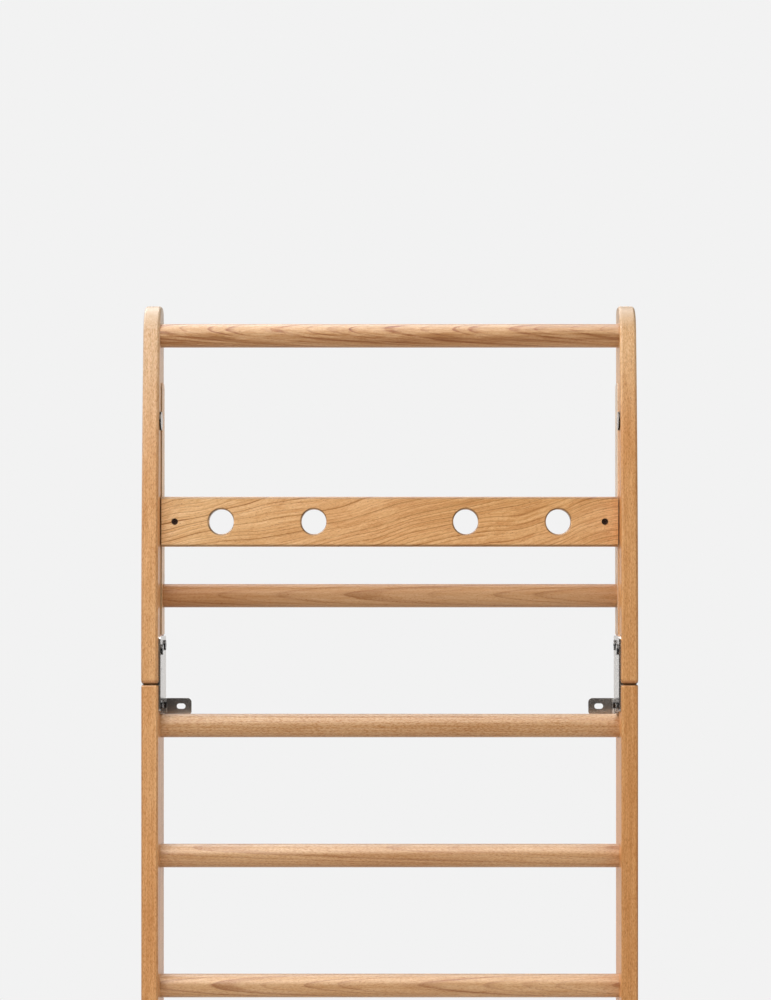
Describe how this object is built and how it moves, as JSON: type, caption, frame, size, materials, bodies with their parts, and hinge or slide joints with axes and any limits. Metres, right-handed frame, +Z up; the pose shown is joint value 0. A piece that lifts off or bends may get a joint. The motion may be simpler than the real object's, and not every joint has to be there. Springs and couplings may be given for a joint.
{
  "type": "wall bars",
  "caption": "Oak wall bars in two sections with round rungs, a drilled cross board near the curved top, and slotted steel brackets for fixing to a wall.",
  "frame": {"origin": "on the floor, in the middle of the width and of the depth", "axes": "+Z up; -Y towards the user, +Y towards the wall; X along the rungs"},
  "size_m": [0.71, 0.092, 2.0824],
  "materials": {
    "oak_stile": "oiled, fine vertical grain",
    "oak_rung": "oiled, turned along the grain",
    "oak_board": "oiled, flat sawn",
    "dowel_wood": "raw beech",
    "bracket_steel": "satin stainless",
    "dark_screw": "blackened",
    "insert_brass": "turned",
    "pad_rubber": "matt"
  },
  "bodies": {
    "root": {"anchor_bolt_left": "bracket_steel", "anchor_bolt_right": "bracket_steel", "anchor_insert_left": "insert_brass", "anchor_insert_right": "insert_brass", "angle_screws_left": "dark_screw", "angle_screws_right": "dark_screw", "board_angle_left": "bracket_steel", "board_angle_right": "bracket_steel", "board_screws": "dark_screw", "cross_board": "oak_board", "floor_pad_left": "pad_rubber", "floor_pad_right": "pad_rubber", "inlay_strip_left": "oak_stile", "inlay_strip_right": "oak_stile", "joint_bolts_left": "bracket_steel", "joint_bolts_right": "bracket_steel", "joint_bracket_left": "bracket_steel", "joint_bracket_right": "bracket_steel", "joint_dowels_left": "dowel_wood", "joint_dowels_right": "dowel_wood", "joint_inserts_left": "insert_brass", "joint_inserts_right": "insert_brass", "lower_rung_1": "oak_rung", "lower_rung_2": "oak_rung", "lower_rung_3": "oak_rung", "lower_rung_4": "oak_rung", "lower_rung_5": "oak_rung", "lower_rung_6": "oak_rung", "lower_rung_7": "oak_rung", "lower_rung_8": "oak_rung", "lower_stile_left": "oak_stile", "lower_stile_right": "oak_stile", "rear_rung": "oak_rung", "rung_pins_left": "dowel_wood", "rung_pins_right": "dowel_wood", "top_rung": "oak_rung", "upper_stile_left": "oak_stile", "upper_stile_right": "oak_stile", "wall_bracket_bolts_left": "bracket_steel", "wall_bracket_bolts_right": "bracket_steel", "wall_bracket_inserts_left": "insert_brass", "wall_bracket_inserts_right": "insert_brass", "wall_bracket_left": "bracket_steel", "wall_bracket_right": "bracket_steel"}
  },
  "joints": []
}
